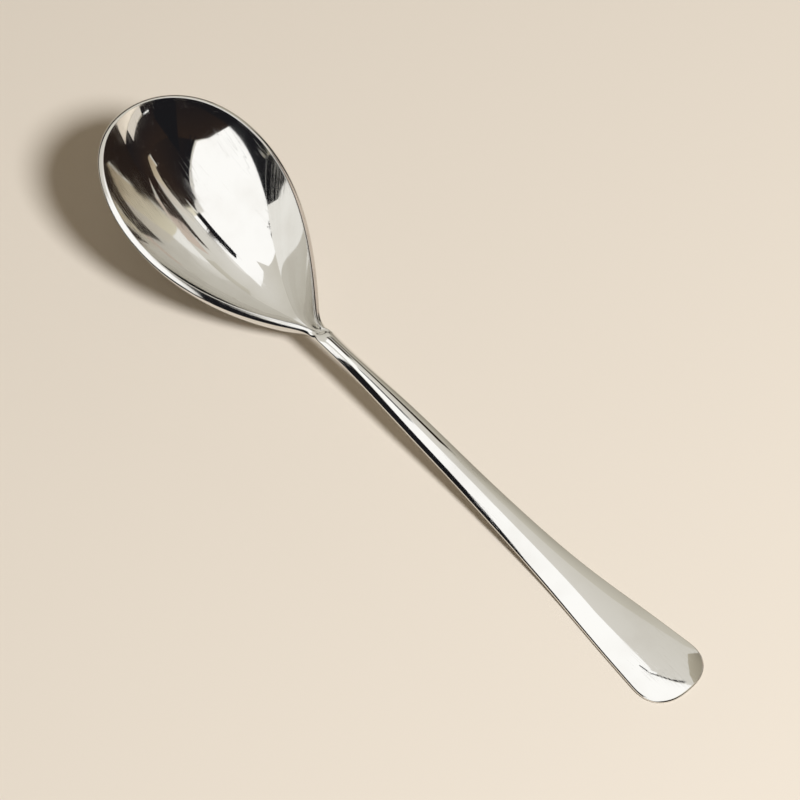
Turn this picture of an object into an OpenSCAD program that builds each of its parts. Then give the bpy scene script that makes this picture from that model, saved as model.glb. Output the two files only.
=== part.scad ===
// Serving spoon pressed from one steel blank, in millimetres.
// A deep bowl with a raised tip runs through a narrow neck into a long handle,
// which falls to the table while it widens and thins towards its rounded end.
// X runs from the bowl's tip to the handle's end, Y across and Z up. The origin
// lies on the table, below the middle of the length.

/* [Overall] */
// Length over all, from the bowl's tip to the handle's end
spoon_length = 250; // [220:1:290]

/* [Bowl] */
// Length of the bowl, from its tip to the neck
bowl_length = 92.5; // [80:0.5:105]
// Width over the rim, at the widest place
bowl_width = 55.8; // [44:0.2:66]
// Distance from the tip to the widest and deepest place
bowl_nose = 35.5; // [30:0.5:42]
// Depth of the inside below the rim
bowl_depth = 20.4; // [14:0.2:24]
// Wall at the bottom of the bowl
floor_wall = 1.8; // [1:0.1:2.6]
// Wall at the rim, whose flat edge is square to the inside
rim_wall = 2; // [1.2:0.1:2.4]
// Rounding of the corners of the rim's edge
rim_round = 0.3; // [0.2:0.05:0.6]
// Height of the tip above the neck
tip_lift = 26; // [10:0.5:32]
// How far short of the neck the inside of the bowl comes up to the rim
floor_stop = 3; // [1:0.5:5]
// How far the outside of the bowl runs on past the end of its inside
heel_length = 4; // [2:0.5:6]

/* [Neck] */
// Width of the handle where it leaves the bowl
neck_width = 5.6; // [4:0.1:8]
// Thickness of the handle where it leaves the bowl
neck_thickness = 3.6; // [2.8:0.1:5]
// Length over which the rim turns over into the handle's shoulders, on each side of the neck
shoulder_run = 8; // [4:0.5:12]

/* [Handle] */
// Width across the handle's end
end_width = 25.2; // [18:0.2:32]
// Thickness of the handle at its end
end_thickness = 2; // [1.6:0.1:3]
// Length of the rounding of the end
end_round = 12; // [8:0.2:14]
// Squareness of the end: 2 is an ellipse, higher is squarer
end_squareness = 2.4; // [2:0.1:4]
// Length of the end that lies level on the table
level_end = 36; // [20:1:50]

/* [Hidden] */
steel_colour = [0.78, 0.77, 0.74];

// Places along the handle, as shares of its length from the neck, and how much
// of the widening from the neck to the end is done at each of them
handle_place_shares = [0, 0.08, 0.25, 0.45, 0.65, 0.85, 1];
handle_width_shares = [0, 0.005, 0.105, 0.195, 0.38, 0.745, 1];
// Radius of the handle's rounded edges, as a share of its thickness
edge_share = 0.27;
// How much of the handle's thickness lies above the middle of its edges
neck_crown_share = 0.53;
end_crown_share = 1 - edge_share;
// Powers of the sections: a parabola inside the bowl and on the handle, and a
// fuller curve outside the bowl, whose wall comes up straight to the rim
inside_power = 1;
outside_power = 0.75;

// How far the bowl's outline and floor take to flow into the handle, as a share
// of the neck's width and thickness
blend_share = 0.8;
outline_blend = neck_width * blend_share;
floor_blend = neck_thickness * blend_share;

handle_length = spoon_length - bowl_length;
fall_run = handle_length - level_end;
end_pole = spoon_length - end_round;
half_bowl = bowl_width / 2;

// Counts of strips along the outline and of rings across the metal
near_rim_strips = 16;
neck_strips = 22;
handle_strips = 24;
tip_strips = 48;
end_strips = 16;
skin_rings = 10;
edge_rings = 8;

// Plain helpers
function mix(from, to, share) = from + (to - from) * share;
function ease(share) = share <= 0 ? 0 : share >= 1 ? 1 : share * share * (3 - 2 * share);
function soft_max(a, b, blend) =
    let (closeness = max(blend - abs(a - b), 0) / blend)
    max(a, b) + blend * pow(closeness, 3) / 6;
function soft_min(a, b, blend) = -soft_max(-a, -b, blend);

// A smooth curve through points whose places and values are given apart
function slope_at(places, values, i) =
    let (before = max(i - 1, 0), after = min(i + 1, len(places) - 1))
    (values[after] - values[before]) / (places[after] - places[before]);
function span_of(places, place, i = 0) =
    i >= len(places) - 2 || place < places[i + 1] ? i : span_of(places, place, i + 1);
function curve_through(places, values, place) =
    let (
        i = span_of(places, place),
        width = places[i + 1] - places[i],
        t = (place - places[i]) / width,
        leave = slope_at(places, values, i) * width,
        arrive = slope_at(places, values, i + 1) * width
    )
    mix(values[i], values[i + 1], ease(t))
        + leave * t * pow(1 - t, 2) - arrive * t * t * (1 - t);

// Outline in plan: half an ellipse at the tip, then a cosine that keeps the
// ellipse's curvature and dies out at the neck
outline_run = bowl_length - neck_width / 2 - bowl_nose;
outline_power = pow(2 * outline_run / (PI * bowl_nose), 2);
function bowl_half(x) =
    let (t = (x - bowl_nose) / outline_run)
    t >= 1 ? 0 : half_bowl * pow(cos(90 * t), outline_power);
function handle_share(x) = (x - bowl_length) / handle_length;
function handle_half(x) =
    let (share = min(max(handle_share(x), 0), 1))
    mix(neck_width, end_width, curve_through(handle_place_shares, handle_width_shares, share)) / 2;
function side_half(x) = soft_max(bowl_half(x), handle_half(x), outline_blend);

// Thickness, edges and the change from the bowl's section to the handle's
function turn(x) = ease((x - bowl_length + shoulder_run) / (2 * shoulder_run));
function handle_thickness(x) = mix(neck_thickness, end_thickness, max(handle_share(x), 0));
function fall(x) = ease((x - bowl_length) / fall_run);
function crown_share(x) = mix(neck_crown_share, end_crown_share, fall(x));
function edge_half(x) = mix(rim_wall / 2, handle_thickness(x) * edge_share, turn(x));
function edge_round(x) = mix(rim_round, handle_thickness(x) * edge_share, turn(x));

// Heights along the middle of the spoon, from the middle of its edge
function crown_height(x) = handle_thickness(x) * crown_share(x);
function belly_height(x) = -handle_thickness(x) * (1 - crown_share(x));
function depth_share(x, run) =
    1 - pow((x - bowl_nose) / run, 2);
inner_run = bowl_length - bowl_nose - floor_stop;
outer_run = inner_run + heel_length;
outer_depth = bowl_depth + floor_wall;
function top_height(x) =
    soft_min(-bowl_depth * depth_share(x, inner_run), crown_height(x), floor_blend);
function bottom_height(x) =
    soft_min(-outer_depth * depth_share(x, outer_run), belly_height(x), floor_blend);

// Place on the middle line that a place on the outline faces, and how squarely
// the tip's outline faces ahead there
function middle_place(x) = min(max(x, bowl_nose), end_pole);
function ahead(x) = max(1 - x / bowl_nose, 0);

// How much fuller than an ellipsoid the tip is, so that the floor's curvature
// runs on without a break across the widest place
function tip_fullness(nose, run, power) = 1 - pow(nose / run, 2) / power;

// Slope of the section where it meets the edge, from its height in the middle.
// Towards the tip the section is shorter and fuller, so it is steeper.
function steeper(x) =
    norm([ahead(x) * half_bowl / bowl_nose, sqrt(1 - pow(ahead(x), 2))])
        * (1 + tip_fullness(bowl_nose, inner_run, inside_power) * pow(ahead(x), 2));
function edge_slope(x, height) =
    atan(2 * steeper(x) * (height - edge_half(x)) / (side_half(middle_place(x)) - edge_half(x)));

// Angles in the section where the edge leaves the top and the bottom, and how far
// the edge leans back: in the bowl it is square to the inside
function top_angle(x) = 90 - edge_slope(x, top_height(middle_place(x)));
function bottom_angle(x) = mix(0, edge_slope(x, -belly_height(x)) - 90, turn(x));
function edge_lean(x) = mix(top_angle(x) - 90, (top_angle(x) + bottom_angle(x)) / 2, turn(x));

// Height of the edge above the table: the bowl is let down until it stands on
// the table, and the handle comes down to lie on it
rim_places = [
    for (i = [0 : near_rim_strips]) mix(bowl_nose, bowl_length - shoulder_run, i / near_rim_strips),
    for (i = [1 : neck_strips])
        mix(bowl_length - shoulder_run, bowl_length + shoulder_run, i / neck_strips)
];
function lift(x) = tip_lift * (1 - ease(x / bowl_length));
neck_height = -min([for (x = rim_places) lift(x) + bottom_height(x)]);
neck_rise = neck_height + belly_height(bowl_length);
function edge_height(x) =
    x <= bowl_length
        ? neck_height + lift(x)
        : neck_rise * (1 - fall(x)) - belly_height(x);

// Places of the strips along the sides, from the widest place to the end's pole
side_places = concat(rim_places, [
    for (i = [1 : handle_strips]) mix(bowl_length + shoulder_run, end_pole, i / handle_strips)
]);
last_side = len(side_places) - 1;

// One point of the outline in plan, with the strip of the middle line that it faces
function side_point(i, side) = [side_places[i], side * side_half(side_places[i]), i];
function end_point(turned) =
    let (
        x = end_pole + end_round * pow(abs(cos(turned)), 2 / end_squareness),
        across = sign(turned) * pow(abs(sin(turned)), 2 / end_squareness)
    )
    [x, across * side_half(min(x, spoon_length)), last_side];
function tip_point(turned) = [bowl_nose * (1 - cos(turned)), half_bowl * sin(turned), 0];
outline = concat(
    [for (i = [0 : last_side]) side_point(i, -1)],
    [for (i = [1 : end_strips - 1]) end_point(mix(-90, 90, i / end_strips))],
    [for (i = [last_side : -1 : 0]) side_point(i, 1)],
    [for (i = [1 : tip_strips - 1]) tip_point(mix(90, -90, i / tip_strips))]
);
strips = len(outline);
function outward(i) =
    let (
        along = outline[(i + 1) % strips] - outline[(i + strips - 1) % strips],
        square_to = [along.y, -along.x]
    )
    square_to / norm(square_to);

// A point on the edge of the metal, at an angle in the section. The edge is half
// an ellipse, and its outermost point lies on the outline.
function edge_point(i, angle) =
    let (
        p = outline[i],
        half = edge_half(p.x),
        rounding = edge_round(p.x),
        lean = edge_lean(p.x),
        turned = angle - lean,
        size = norm([rounding * cos(turned), half * sin(turned)]),
        along = pow(rounding, 2) * cos(turned) / size,
        through = pow(half, 2) * sin(turned) / size,
        reach = norm([rounding * cos(lean), half * sin(lean)]),
        plan = [p.x, p.y] + outward(i) * (along * cos(lean) - through * sin(lean) - reach)
    )
    [plan.x, plan.y, edge_height(plan.x) + along * sin(lean) + through * cos(lean)];

// A point on the top or the bottom, at a share of the way from the middle to the edge
function skin_point(i, share, angle, run, height, power) =
    let (
        p = outline[i],
        edge = edge_point(i, angle),
        x = mix(middle_place(p.x), edge.x, share),
        edge_rise = edge.z - edge_height(edge.x),
        nose = bowl_nose - norm([p.x - edge.x, p.y - edge.y]),
        hang_share = height / (height - edge_rise),
        fullness = tip_fullness(nose, run, power / hang_share),
        fuller = p.x < bowl_nose ? 1 + fullness * pow(share * ahead(p.x), 2) : 1,
        across = pow((1 - share * share) * fuller, mix(power, inside_power, turn(p.x)))
    )
    [x, edge.y * share, edge_height(x) + mix(edge_rise, height, across)];
function top_point(i, share) =
    let (x = outline[i].x)
    skin_point(i, share, top_angle(x), inner_run, top_height(middle_place(x)), inside_power);
function bottom_point(i, share) =
    let (x = outline[i].x)
    skin_point(i, share, bottom_angle(x), outer_run, bottom_height(middle_place(x)), outside_power);

// The skin: both middle lines, then rings of points from the top's middle out to
// the rim, round the edge and back along the bottom
middle_points = concat(
    [for (x = side_places) [x, 0, edge_height(x) + top_height(x)]],
    [for (x = side_places) [x, 0, edge_height(x) + bottom_height(x)]]
);
function ring_share(ring) = sin(90 * ring / skin_rings);
ring_points = concat(
    [for (ring = [1 : skin_rings - 1], i = [0 : strips - 1]) top_point(i, ring_share(ring))],
    [
        for (ring = [0 : edge_rings], i = [0 : strips - 1])
            let (x = outline[i].x)
            edge_point(i, mix(top_angle(x), bottom_angle(x), ring / edge_rings))
    ],
    [
        for (ring = [skin_rings - 1 : -1 : 1], i = [0 : strips - 1])
            bottom_point(i, ring_share(ring))
    ]
);
rings = len(ring_points) / strips;

first_ring = len(middle_points);
function ring_corner(ring, i) = first_ring + ring * strips + i % strips;
function top_middle(i) = outline[i % strips].z;
function bottom_middle(i) = len(side_places) + outline[i % strips].z;
function square_faces(a, b, c, d) = a == b ? [[a, c, d]] : [[a, b, c], [a, c, d]];
skin_faces = [
    for (i = [0 : strips - 1])
        each square_faces(top_middle(i), top_middle(i + 1), ring_corner(0, i + 1), ring_corner(0, i)),
    for (ring = [0 : rings - 2], i = [0 : strips - 1])
        each square_faces(
            ring_corner(ring, i), ring_corner(ring, i + 1),
            ring_corner(ring + 1, i + 1), ring_corner(ring + 1, i)
        ),
    for (i = [0 : strips - 1])
        each square_faces(
            bottom_middle(i + 1), bottom_middle(i),
            ring_corner(rings - 1, i), ring_corner(rings - 1, i + 1)
        )
];

// The spoon, moved so that the middle of its length is over the origin
module spoon() {
    color(steel_colour)
        translate([-spoon_length / 2, 0, 0])
            polyhedron(points = concat(middle_points, ring_points), faces = skin_faces, convexity = 6);
}

spoon();
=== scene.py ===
import math

import bmesh
import bpy
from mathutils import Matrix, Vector


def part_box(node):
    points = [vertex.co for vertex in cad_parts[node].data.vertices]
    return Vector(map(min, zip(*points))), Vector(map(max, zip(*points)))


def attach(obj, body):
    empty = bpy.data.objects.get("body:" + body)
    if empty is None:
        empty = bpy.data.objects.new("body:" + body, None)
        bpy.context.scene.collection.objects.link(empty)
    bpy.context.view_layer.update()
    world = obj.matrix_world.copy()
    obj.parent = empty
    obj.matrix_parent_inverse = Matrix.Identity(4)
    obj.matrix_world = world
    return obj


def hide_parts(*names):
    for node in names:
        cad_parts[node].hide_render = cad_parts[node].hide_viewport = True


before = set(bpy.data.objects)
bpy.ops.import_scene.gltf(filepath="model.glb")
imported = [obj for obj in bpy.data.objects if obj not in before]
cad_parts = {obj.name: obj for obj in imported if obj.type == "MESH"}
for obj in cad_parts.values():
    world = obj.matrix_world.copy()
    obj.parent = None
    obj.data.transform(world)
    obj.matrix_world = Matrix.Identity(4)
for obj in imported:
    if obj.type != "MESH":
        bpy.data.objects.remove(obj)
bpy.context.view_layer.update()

# Form of the spoon
# It is one piece, pressed from a blank of stainless steel: a deep bowl with a raised
# tip, a narrow neck, and a handle that falls to the floor as it widens and thins.
# Only its bowl's and its handle's sections differ, so one skin is laid over it all.
mm = 0.001
low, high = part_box("spoon")
spoon_length = high.x - low.x
half_bowl = high.y
bowl_length = 92.5 * mm
bowl_nose = 35.5 * mm
bowl_depth = 20.4 * mm
floor_wall = 1.8 * mm
rim_wall = 2 * mm
rim_round = 0.3 * mm
tip_lift = 26 * mm
floor_stop = 3 * mm
heel_length = 4 * mm
neck_width = 5.6 * mm
neck_thickness = 3.6 * mm
shoulder_run = 8 * mm
end_width = 25.2 * mm
end_thickness = 2 * mm
end_round = 12 * mm
end_squareness = 2.4
level_end = 36 * mm

handle_place_shares = (0, 0.08, 0.25, 0.45, 0.65, 0.85, 1)
handle_width_shares = (0, 0.005, 0.105, 0.195, 0.38, 0.745, 1)
edge_share = 0.27
neck_crown_share = 0.53
end_crown_share = 1 - edge_share
inside_power = 1
outside_power = 0.75
blend_share = 0.8
outline_blend = neck_width * blend_share
floor_blend = neck_thickness * blend_share

handle_length = spoon_length - bowl_length
fall_run = handle_length - level_end
end_pole = spoon_length - end_round
outline_run = bowl_length - neck_width / 2 - bowl_nose
outline_power = (2 * outline_run / (math.pi * bowl_nose)) ** 2
inner_run = bowl_length - bowl_nose - floor_stop
outer_run = inner_run + heel_length
outer_depth = bowl_depth + floor_wall


def mix(start, stop, share):
    return start + (stop - start) * share


def ease(share):
    share = min(max(share, 0), 1)
    return share * share * (3 - 2 * share)


def soft_max(a, b, blend):
    closeness = max(blend - abs(a - b), 0) / blend
    return max(a, b) + blend * closeness ** 3 / 6


def soft_min(a, b, blend):
    return -soft_max(-a, -b, blend)


def slope_at(places, values, i):
    before = max(i - 1, 0)
    after = min(i + 1, len(places) - 1)
    return (values[after] - values[before]) / (places[after] - places[before])


def curve_through(places, values, place):
    """A smooth curve through points whose places and values are given apart."""
    i = max(k for k in range(len(places) - 1) if places[k] <= place)
    width = places[i + 1] - places[i]
    t = (place - places[i]) / width
    leave = slope_at(places, values, i) * width
    arrive = slope_at(places, values, i + 1) * width
    return mix(values[i], values[i + 1], ease(t)) + leave * t * (1 - t) ** 2 - arrive * t * t * (1 - t)


def bowl_half(x):
    t = (x - bowl_nose) / outline_run
    return 0 if t >= 1 else half_bowl * math.cos(math.pi / 2 * t) ** outline_power


def handle_share(x):
    return (x - bowl_length) / handle_length


def handle_half(x):
    share = min(max(handle_share(x), 0), 1)
    return mix(neck_width, end_width, curve_through(handle_place_shares, handle_width_shares, share)) / 2


def side_half(x):
    return soft_max(bowl_half(x), handle_half(x), outline_blend)


def turn(x):
    """0 where the section is the bowl's, 1 where it is the handle's."""
    return ease((x - bowl_length + shoulder_run) / (2 * shoulder_run))


def handle_thickness(x):
    return mix(neck_thickness, end_thickness, max(handle_share(x), 0))


def fall(x):
    return ease((x - bowl_length) / fall_run)


def crown_share(x):
    return mix(neck_crown_share, end_crown_share, fall(x))


def edge_half(x):
    return mix(rim_wall / 2, handle_thickness(x) * edge_share, turn(x))


def edge_round(x):
    return mix(rim_round, handle_thickness(x) * edge_share, turn(x))


def crown_height(x):
    return handle_thickness(x) * crown_share(x)


def belly_height(x):
    return -handle_thickness(x) * (1 - crown_share(x))


def middle_height(x, depth, run, handle_side):
    """Height of the top or the bottom along the middle of the spoon, from the middle of its edge."""
    floor = -depth * (1 - ((x - bowl_nose) / run) ** 2)
    return soft_min(floor, handle_side, floor_blend)


def lift(x):
    return tip_lift * (1 - ease(x / bowl_length))


def middle_place(x):
    """The place on the middle line that a place on the outline faces."""
    return min(max(x, bowl_nose), end_pole)


def ahead(x):
    """How squarely the tip's outline faces ahead."""
    return max(1 - x / bowl_nose, 0)


def tip_fullness(nose, run, power):
    return 1 - (nose / run) ** 2 / power


def steeper(x):
    lie = math.hypot(ahead(x) * half_bowl / bowl_nose, math.sqrt(1 - ahead(x) ** 2))
    return lie * (1 + tip_fullness(bowl_nose, inner_run, inside_power) * ahead(x) ** 2)


def edge_slope(x, height):
    return math.atan(2 * steeper(x) * (height - edge_half(x)) / (side_half(middle_place(x)) - edge_half(x)))


def top_angle(x):
    middle = middle_place(x)
    return math.pi / 2 - edge_slope(x, middle_height(middle, bowl_depth, inner_run, crown_height(middle)))


def bottom_angle(x):
    return (edge_slope(x, -belly_height(x)) - math.pi / 2) * turn(x)


def edge_lean(x):
    """How far the edge leans back: in the bowl it is square to the inside."""
    return mix(top_angle(x) - math.pi / 2, (top_angle(x) + bottom_angle(x)) / 2, turn(x))


# The bowl is let down until it stands on the floor, where the handle's end lies too
heel_steps = 400
neck_height = -min(
    lift(x) + middle_height(x, outer_depth, outer_run, belly_height(x))
    for x in (mix(bowl_nose, bowl_length + shoulder_run, k / heel_steps) for k in range(heel_steps + 1))
)
neck_rise = neck_height + belly_height(bowl_length)


def edge_height(x):
    if x <= bowl_length:
        return neck_height + lift(x)
    return neck_rise * (1 - fall(x)) - belly_height(x)


# Strips run from the bowl's tip to the handle's end, and rings from the middle of
# the top, over the rounded edge, to the middle underneath
tip_strips = 60
rim_strips = 50
neck_strips = 60
handle_strips = 110
end_strips = 40
strip_runs = (
    (rim_strips, bowl_nose, bowl_length - shoulder_run),
    (neck_strips, bowl_length - shoulder_run, bowl_length + shoulder_run),
    (handle_strips, bowl_length + shoulder_run, end_pole),
)
strips = tip_strips + rim_strips + neck_strips + handle_strips + end_strips
skin_rings = 40
edge_rings = 14
rings = 2 * skin_rings + edge_rings
weld = 0.0001 * mm


def outline_point(strip):
    """Plan of the outline."""
    if strip <= tip_strips:
        turned = math.pi / 2 * strip / tip_strips
        return bowl_nose * (1 - math.cos(turned)), half_bowl * math.sin(turned)
    strip -= tip_strips
    for count, start, stop in strip_runs:
        if strip <= count:
            x = mix(start, stop, strip / count)
            return x, side_half(x)
        strip -= count
    turned = math.pi / 2 * (1 - strip / end_strips)
    x = end_pole + end_round * abs(math.cos(turned)) ** (2 / end_squareness)
    across = math.copysign(abs(math.sin(turned)) ** (2 / end_squareness), turned)
    return x, across * side_half(min(x, spoon_length))


def outward(strip):
    nudge = 0.01
    before = outline_point(strip - nudge)
    after = outline_point(strip + nudge)
    return Vector((before[1] - after[1], after[0] - before[0])).normalized()


def edge_point(strip, angle):
    """A point on the edge, which is half an ellipse, at an angle in the section."""
    x, y = outline_point(strip)
    half = edge_half(x)
    rounding = edge_round(x)
    lean = edge_lean(x)
    turned = angle - lean
    size = math.hypot(rounding * math.cos(turned), half * math.sin(turned))
    along = rounding ** 2 * math.cos(turned) / size
    through = half ** 2 * math.sin(turned) / size
    reach = math.hypot(rounding * math.cos(lean), half * math.sin(lean))
    out = along * math.cos(lean) - through * math.sin(lean) - reach
    plan = Vector((x, y)) + outward(strip) * out
    return Vector((plan.x, plan.y, edge_height(plan.x) + along * math.sin(lean) + through * math.cos(lean)))


def skin_point(strip, share, angle, run, height, power):
    """A point on the top or the bottom, at a share of the way from the middle to the edge."""
    outline_x, outline_y = outline_point(strip)
    edge = edge_point(strip, angle)
    x = mix(middle_place(outline_x), edge.x, share)
    edge_rise = edge.z - edge_height(edge.x)
    fuller = 1
    if outline_x < bowl_nose:
        nose = bowl_nose - math.hypot(outline_x - edge.x, outline_y - edge.y)
        hang_share = height / (height - edge_rise)
        fuller += tip_fullness(nose, run, power / hang_share) * (share * ahead(outline_x)) ** 2
    across = ((1 - share * share) * fuller) ** mix(power, inside_power, turn(outline_x))
    return Vector((x, edge.y * share, edge_height(x) + mix(edge_rise, height, across)))


def spoon_point(strip, ring):
    x, _ = outline_point(strip)
    middle = middle_place(x)
    if ring < skin_rings:
        share = math.sin(math.pi / 2 * ring / skin_rings)
        height = middle_height(middle, bowl_depth, inner_run, crown_height(middle))
        return skin_point(strip, share, top_angle(x), inner_run, height, inside_power)
    ring -= skin_rings
    if ring <= edge_rings:
        return edge_point(strip, mix(top_angle(x), bottom_angle(x), ring / edge_rings))
    share = math.sin(math.pi / 2 * (1 - (ring - edge_rings) / skin_rings))
    height = middle_height(middle, outer_depth, outer_run, belly_height(middle))
    return skin_point(strip, share, bottom_angle(x), outer_run, height, outside_power)


# A grid one unit wide becomes half of the skin, and its mirror image the other half.
# The edge wears most, so each corner also keeps how near the edge it is.
half_grid = 0.5
worn_rings = 6
skin = bmesh.new()
nearness_layer = skin.verts.layers.float.new("edge_nearness")
bmesh.ops.create_grid(skin, x_segments=strips, y_segments=rings, size=half_grid)
for corner in skin.verts:
    strip = round((corner.co.x + half_grid) * strips)
    ring = round((corner.co.y + half_grid) * rings)
    corner.co = spoon_point(strip, ring) + Vector((low.x, 0, 0))
    from_edge = max(skin_rings - ring, ring - skin_rings - edge_rings, 0)
    corner[nearness_layer] = ease(1 - from_edge / worn_rings)
bmesh.ops.remove_doubles(skin, verts=skin.verts, dist=weld)
bmesh.ops.mirror(skin, geom=skin.verts[:] + skin.edges[:] + skin.faces[:], axis="Y", merge_dist=weld)
bmesh.ops.remove_doubles(skin, verts=skin.verts, dist=weld)
bmesh.ops.recalc_face_normals(skin, faces=skin.faces)
spoon_mesh = bpy.data.meshes.new("spoon_polished")
skin.to_mesh(spoon_mesh)
skin.free()
spoon_mesh.shade_smooth()
spoon = bpy.data.objects.new("spoon_polished", spoon_mesh)
bpy.context.scene.collection.objects.link(spoon)

# Finish of the spoon
# Stainless steel, buffed to a mirror. Buffing leaves a faint waviness, and use
# leaves hairline scratches, a dull bloom in patches, and wear along the edge.
bright_steel = (0.8, 0.79, 0.76, 1)
handled_steel = (0.75, 0.735, 0.7, 1)
buffed_roughness = 0.035
waviness_scale = 24
waviness_height = 0.035 * mm
plain_detail = 1
noise_middle = 0.5

bloom_roughness = 0.05
bloom_scale = 55
bloom_detail = 4
bloom_span = (0.42, 0.72)

wear_roughness = 0.1
wear_scale = 190
wear_detail = 3
wear_span = (0.35, 0.65)
least_wear_share = 0.3

# A lay is the degrees that the lines turn from the spoon's length, the noise's scale
# along and across them, and where in the noise they start
polishing_lay = (0, 12, 900, 1.7)
rubbing_lay = (38, 25, 700, 4.3)
crossing_lay = (-57, 30, 800, 9.1)
scratch_roughness = 0.16
scratch_height = 0.002 * mm
scratch_width = 0.008
scratch_tint_share = 0.8
patch_scale = 70
patch_span = (0.5, 0.62)

steel = bpy.data.materials.new("polished_steel")
steel.use_nodes = True
nodes = steel.node_tree.nodes
shader = nodes["Principled BSDF"]
shader.inputs["Metallic"].default_value = 1
places = nodes.new("ShaderNodeTexCoord").outputs["Object"]


def link(source, target):
    steel.node_tree.links.new(source, target)


def steel_noise(scale, detail, source):
    noise = nodes.new("ShaderNodeTexNoise")
    noise.inputs["Scale"].default_value = scale
    noise.inputs["Detail"].default_value = detail
    link(source, noise.inputs["Vector"])
    return noise.outputs["Fac"]


def spread(source, low_in, high_in, low_out, high_out):
    """The source, from one span of values to another."""
    change = nodes.new("ShaderNodeMapRange")
    change.interpolation_type = "SMOOTHSTEP"
    for socket, value in zip(change.inputs[1:5], (low_in, high_in, low_out, high_out)):
        socket.default_value = value
    link(source, change.inputs["Value"])
    return change.outputs["Result"]


def combine(operation, a, b):
    math_node = nodes.new("ShaderNodeMath")
    math_node.operation = operation
    for socket, source in zip(math_node.inputs, (a, b)):
        if isinstance(source, (int, float)):
            socket.default_value = source
        else:
            link(source, socket)
    return math_node.outputs["Value"]


def hairlines(turned, along_scale, across_scale, seed):
    """Thin broken lines that run one way over the steel: 1 on a line, 0 beside it."""
    lay = nodes.new("ShaderNodeMapping")
    lay.inputs["Rotation"].default_value = (0, 0, math.radians(turned))
    lay.inputs["Location"].default_value = (seed, seed, seed)
    lay.inputs["Scale"].default_value = (along_scale, across_scale, along_scale)
    link(places, lay.inputs["Vector"])
    streaks = steel_noise(1, plain_detail, lay.outputs["Vector"])
    line = combine("ABSOLUTE", combine("SUBTRACT", streaks, noise_middle), 0)
    patch = steel_noise(patch_scale + seed, plain_detail, places)
    return combine("MULTIPLY", spread(line, 0, scratch_width, 1, 0), spread(patch, *patch_span, 0, 1))


# Polishing lines run along the spoon, and scratches from use cross it
lines = combine("MAXIMUM", hairlines(*polishing_lay), hairlines(*rubbing_lay))
lines = combine("MAXIMUM", lines, hairlines(*crossing_lay))
bloom = spread(steel_noise(bloom_scale, bloom_detail, places), *bloom_span, 0, 1)
nearness = nodes.new("ShaderNodeAttribute")
nearness.attribute_name = "edge_nearness"
uneven_wear = spread(steel_noise(wear_scale, wear_detail, places), *wear_span, least_wear_share, 1)
edge_wear = combine("MULTIPLY", nearness.outputs["Fac"], uneven_wear)
roughness = combine("ADD", buffed_roughness, combine("MULTIPLY", bloom, bloom_roughness))
roughness = combine("ADD", roughness, combine("MULTIPLY", lines, scratch_roughness))
roughness = combine("ADD", roughness, combine("MULTIPLY", edge_wear, wear_roughness))
link(roughness, shader.inputs["Roughness"])

steel_colour = nodes.new("ShaderNodeMix")
steel_colour.data_type = "RGBA"
steel_colour.inputs["A"].default_value = bright_steel
steel_colour.inputs["B"].default_value = handled_steel
handled = combine("MAXIMUM", bloom, combine("MULTIPLY", lines, scratch_tint_share))
link(handled, steel_colour.inputs["Factor"])
link(steel_colour.outputs["Result"], shader.inputs["Base Color"])

waviness = nodes.new("ShaderNodeBump")
waviness.inputs["Distance"].default_value = waviness_height
link(steel_noise(waviness_scale, plain_detail, places), waviness.inputs["Height"])
grooves = nodes.new("ShaderNodeBump")
grooves.invert = True
grooves.inputs["Distance"].default_value = scratch_height
link(lines, grooves.inputs["Height"])
link(waviness.outputs["Normal"], grooves.inputs["Normal"])
link(grooves.outputs["Normal"], shader.inputs["Normal"])
spoon_mesh.materials.append(steel)

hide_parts("spoon")
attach(spoon, "root")

# Floor
# A plain pale sheet with a dull finish, which the spoon lies on. It stays a hair below
# the spoon, so that no face of theirs coincides.
floor_gap = 0.05 * mm
floor_colour = (0.76, 0.7, 0.62, 1)
floor_roughness = 0.7
floor_specular = 0.2
floor_reach = 4
floor_sheet = bmesh.new()
bmesh.ops.create_grid(floor_sheet, x_segments=1, y_segments=1, size=floor_reach)
bmesh.ops.translate(floor_sheet, verts=floor_sheet.verts, vec=(0, 0, -floor_gap))
floor_mesh = bpy.data.meshes.new("floor")
floor_sheet.to_mesh(floor_mesh)
floor_sheet.free()
floor = bpy.data.objects.new("floor", floor_mesh)
bpy.context.scene.collection.objects.link(floor)
floor_finish = bpy.data.materials.new("pale_floor")
floor_finish.use_nodes = True
floor_shader = floor_finish.node_tree.nodes["Principled BSDF"]
floor_shader.inputs["Base Color"].default_value = floor_colour
floor_shader.inputs["Roughness"].default_value = floor_roughness
floor_shader.inputs["Specular IOR Level"].default_value = floor_specular
floor_mesh.materials.append(floor_finish)

# Studio
# Pale and dark cards hang round the spoon, because a mirror shows nothing but what
# stands around it. They show only in reflections, and light nothing.
card_columns = 36
card_rows = 24
card_paint = bpy.data.materials.new("card_paint")
card_paint.use_nodes = True
card_paint.cycles.emission_sampling = "NONE"
card_face = card_paint.node_tree.nodes["Principled BSDF"]
card_face.inputs["Base Color"].default_value = (0, 0, 0, 1)
card_face.inputs["Specular IOR Level"].default_value = 0
card_face.inputs["Emission Strength"].default_value = 1
card_tone = card_paint.node_tree.nodes.new("ShaderNodeAttribute")
card_tone.attribute_name = "tone"
card_paint.node_tree.links.new(card_tone.outputs["Color"], card_face.inputs["Emission Color"])


def toward(azimuth, elevation):
    """A direction: degrees round from the handle to the far side, and degrees up."""
    a = math.radians(azimuth)
    e = math.radians(elevation)
    return Vector((math.cos(a) * math.cos(e), math.sin(a) * math.cos(e), math.sin(e)))


def along_border(border, share):
    """A point at a share of the way along a border, counted by its corners."""
    place = share * (len(border) - 1)
    i = min(int(place), len(border) - 2)
    return [mix(a, b, place - i) for a, b in zip(border[i], border[i + 1])]


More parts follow.
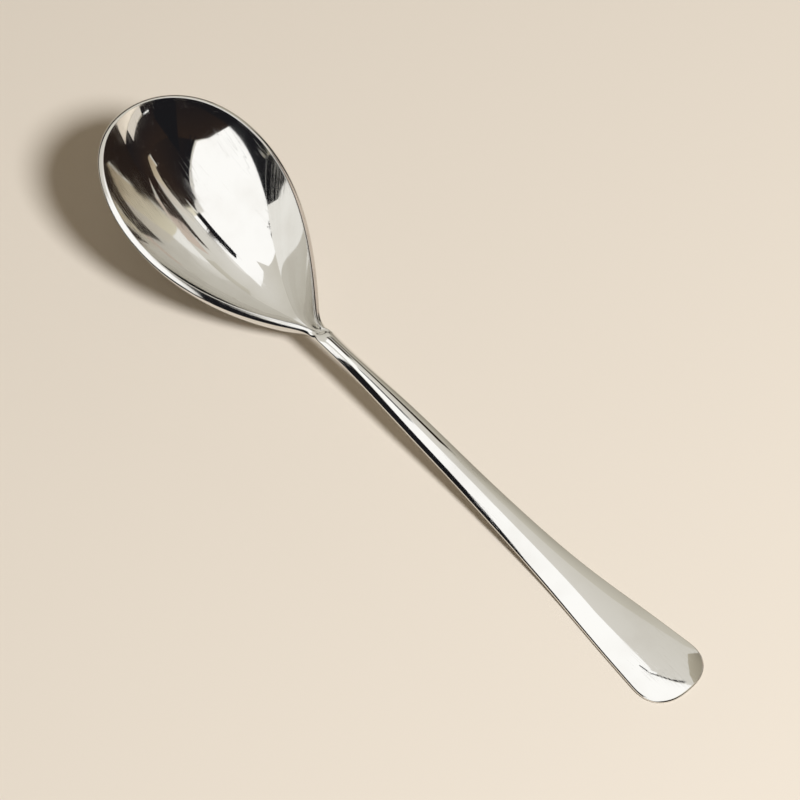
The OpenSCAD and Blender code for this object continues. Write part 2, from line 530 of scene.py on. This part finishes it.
def hang_card(name, foot, top, tone, top_tone=None, distance=None):
    """A card between two borders: directions at a distance, or else points in space."""
    sheet = bmesh.new()
    tone_layer = sheet.verts.layers.float_color.new("tone")
    bmesh.ops.create_grid(sheet, x_segments=card_columns, y_segments=card_rows, size=half_grid)
    for corner in sheet.verts:
        along = corner.co.x + half_grid
        up = corner.co.y + half_grid
        point = [mix(a, b, up) for a, b in zip(along_border(foot, along), along_border(top, along))]
        corner.co = toward(*point) * distance if distance else Vector(point)
        corner[tone_layer] = (*[mix(a, b, up) for a, b in zip(tone, top_tone or tone)], 1)
    card_mesh = bpy.data.meshes.new(name)
    sheet.to_mesh(card_mesh)
    sheet.free()
    card = bpy.data.objects.new(name, card_mesh)
    bpy.context.scene.collection.objects.link(card)
    card.visible_camera = False
    card.visible_diffuse = False
    card.visible_shadow = False
    card_mesh.materials.append(card_paint)


# Far cards, the farthest first. Their borders are directions in degrees.
wall_distance = 2.7
window_distance = 2.6
dark_distance = 2.5
cream_distance = 2.4
horizon = -3
overhead = 90
half_turn = 180
white = (1.22, 1.22, 1.22)
near_black = (0.012, 0.012, 0.014)
dark_brown = (0.03, 0.02, 0.016)
pale_stone = (0.8, 0.74, 0.66)
hang_card(
    "wall_card",
    foot=((-half_turn, horizon), (half_turn, horizon)),
    top=((-half_turn, overhead), (half_turn, overhead)),
    tone=(0.62, 0.59, 0.51), top_tone=(0.86, 0.84, 0.8), distance=wall_distance,
)
hang_card(
    "ceiling_card",
    foot=((-half_turn, 74), (half_turn, 74)),
    top=((-half_turn, overhead), (half_turn, overhead)),
    tone=(0.9, 0.88, 0.84), top_tone=(1.15, 1.14, 1.12), distance=window_distance,
)
hang_card(
    "far_wall_card",
    foot=((96, horizon), (124, horizon)),
    top=((96, 44), (124, 46)),
    tone=(0.3, 0.27, 0.21), top_tone=(0.66, 0.63, 0.55), distance=window_distance,
)
hang_card(
    "back_card",
    foot=((124, horizon), (248, horizon)),
    top=((124, 16), (248, 26)),
    tone=near_black, top_tone=dark_brown, distance=window_distance,
)
hang_card(
    "window_card",
    foot=((-104, 9), (-80, 8), (-68, 18), (-58, 23), (-50, 38), (-40, 58), (-20, 72)),
    top=((-104, 9), (-124, 24), (-128, 45), (-122, 62), (-116, 76), (-110, 84), (-20, 84)),
    tone=white, distance=window_distance,
)
hang_card(
    "low_dark_card",
    foot=[(azimuth, horizon) for azimuth in (-112, -80, -68, -58, 24, 75)],
    top=((-112, 9), (-80, 8), (-68, 18), (-56, 23), (24, 25), (75, 24)),
    tone=near_black, top_tone=dark_brown, distance=dark_distance,
)
hang_card(
    "high_dark_card",
    foot=((-58, 20), (-46, 42), (-38, 52), (-20, 69)),
    top=((24, 22), (26, 50), (24, 64), (20, 73)),
    tone=near_black, top_tone=dark_brown, distance=dark_distance,
)
hang_card(
    "cream_card",
    foot=((27, 24), (47, 24)),
    top=((27, 74), (47, 70)),
    tone=(0.42, 0.33, 0.22), top_tone=(0.95, 0.9, 0.74), distance=cream_distance,
)
hang_card(
    "taupe_card",
    foot=((47, 24), (64, 24)),
    top=((47, 70), (64, 62)),
    tone=(0.5, 0.43, 0.37), top_tone=(0.8, 0.76, 0.68), distance=cream_distance,
)
hang_card(
    "door_card",
    foot=((74, horizon), (84, horizon)),
    top=((74, 44), (92, 46)),
    tone=(0.68, 0.58, 0.48), top_tone=(0.66, 0.56, 0.49), distance=cream_distance,
)
hang_card(
    "dark_door_card",
    foot=((82, horizon), (103, horizon)),
    top=((82, 27), (103, 27)),
    tone=near_black, distance=cream_distance,
)
hang_card(
    "sill_card",
    foot=((6, horizon), (38, horizon)),
    top=((6, 4), (38, 7)),
    tone=pale_stone, distance=cream_distance,
)

# Near cards, which the bowl and the handle see in different places. The level ones
# are given by their plan and one height.
over_height = 0.36
beam_height = 0.2
shelf_height = 0.07
end_height = 0.05
bowl_card_height = 0.042


def level(height, *plan):
    return [(x, y, height) for x, y in plan]


hang_card(
    "over_card",
    foot=level(over_height, (-0.22, -0.16), (-0.1, -0.16), (0.015, -0.16)),
    top=level(over_height, (-0.22, 0.03), (-0.1, 0.06), (0.015, 0.115)),
    tone=white,
)
hang_card(
    "end_light_card",
    foot=level(end_height, (0.092, -0.015), (0.108, -0.015), (0.13, -0.015)),
    top=level(end_height, (0.092, 0.004), (0.108, 0.0135), (0.13, 0.026)),
    tone=white,
)
hang_card(
    "end_edge_card",
    foot=level(end_height, (0.094, 0.0055), (0.108, 0.0138), (0.121, 0.0215)),
    top=level(end_height, (0.094, 0.0063), (0.108, 0.015), (0.121, 0.0228)),
    tone=near_black,
)
hang_card(
    "beam_card",
    foot=level(beam_height, (-0.034, 0.014), (-0.05, 0.009), (-0.063, 0.003), (-0.079, -0.004)),
    top=level(beam_height, (-0.034, 0.038), (-0.053, 0.035), (-0.067, 0.029), (-0.083, 0.014)),
    tone=near_black,
)
hang_card(
    "shelf_card",
    foot=level(shelf_height, (-0.0757, 0.012), (-0.065, 0.012), (-0.055, 0.012), (-0.044, 0.012)),
    top=level(shelf_height, (-0.0757, 0.027), (-0.071, 0.0315), (-0.06, 0.0358), (-0.044, 0.038)),
    tone=dark_brown,
)
hang_card(
    "far_shelf_card",
    foot=level(shelf_height, (-0.079, 0.045), (-0.068, 0.0515), (-0.05, 0.0565), (0, 0.0575)),
    top=level(shelf_height, (-0.079, 0.092), (-0.068, 0.092), (-0.05, 0.092), (0, 0.092)),
    tone=dark_brown,
)
hang_card(
    "near_bowl_card",
    foot=level(0, (-0.14, -0.06), (-0.045, -0.06)),
    top=level(bowl_card_height, (-0.14, -0.06), (-0.045, -0.06)),
    tone=near_black,
)
hang_card(
    "near_handle_card",
    foot=level(0, (-0.045, -0.055), (0.115, -0.055)),
    top=((-0.045, -0.035, 0.075), (0.115, -0.035, 0.068)),
    tone=near_black,
)
hang_card(
    "end_card",
    foot=level(end_height, (0.1, 0.046), (0.109, 0.036), (0.118, 0.028), (0.13, 0.024)),
    top=level(end_height, (0.105, 0.065), (0.125, 0.06), (0.14, 0.05), (0.15, 0.04)),
    tone=(0.5, 0.46, 0.37), top_tone=(0.12, 0.1, 0.07),
)

# Lamps
# One large soft lamp beyond the handle's end throws the shadow, and a dim warm world
# fills it in. The lamp itself shows in no reflection.
key_direction = Vector((0.82, 0.06, 1)).normalized()
key_distance = 2
key_size = 0.5
key_power = 42
key_data = bpy.data.lights.new("key_lamp", "AREA")
key_data.shape = "DISK"
key_data.size = key_size
key_data.energy = key_power
key = bpy.data.objects.new("key_lamp", key_data)
bpy.context.scene.collection.objects.link(key)
key.location = key_direction * key_distance
key.rotation_mode = "QUATERNION"
key.rotation_quaternion = key_direction.to_track_quat("Z", "Y")
key.visible_glossy = False
key.visible_camera = False

fill_colour = (1, 0.84, 0.62, 1)
fill_strength = 0.24
world = bpy.data.worlds.new("room")
world.use_nodes = True
fill = world.node_tree.nodes["Background"]
fill.inputs["Color"].default_value = fill_colour
fill.inputs["Strength"].default_value = fill_strength
bpy.context.scene.world = world

# Camera
# It stands about a metre away at the handle's near side, 56 degrees above the floor,
# and looks at about the middle of the spoon.
camera_place = Vector((0.4086, -0.3691, 0.8290))
camera_target = Vector((-0.0057, 0.0065, 0))
camera_lens = 147.7
camera_sensor = 36
camera_data = bpy.data.cameras.new("camera")
camera_data.lens = camera_lens
camera_data.sensor_width = camera_sensor
camera = bpy.data.objects.new("camera", camera_data)
bpy.context.scene.collection.objects.link(camera)
camera.location = camera_place
camera.rotation_mode = "QUATERNION"
camera.rotation_quaternion = (camera_target - camera_place).to_track_quat("-Z", "Y")
bpy.context.scene.camera = camera
bpy.context.scene.view_settings.view_transform = "Standard"
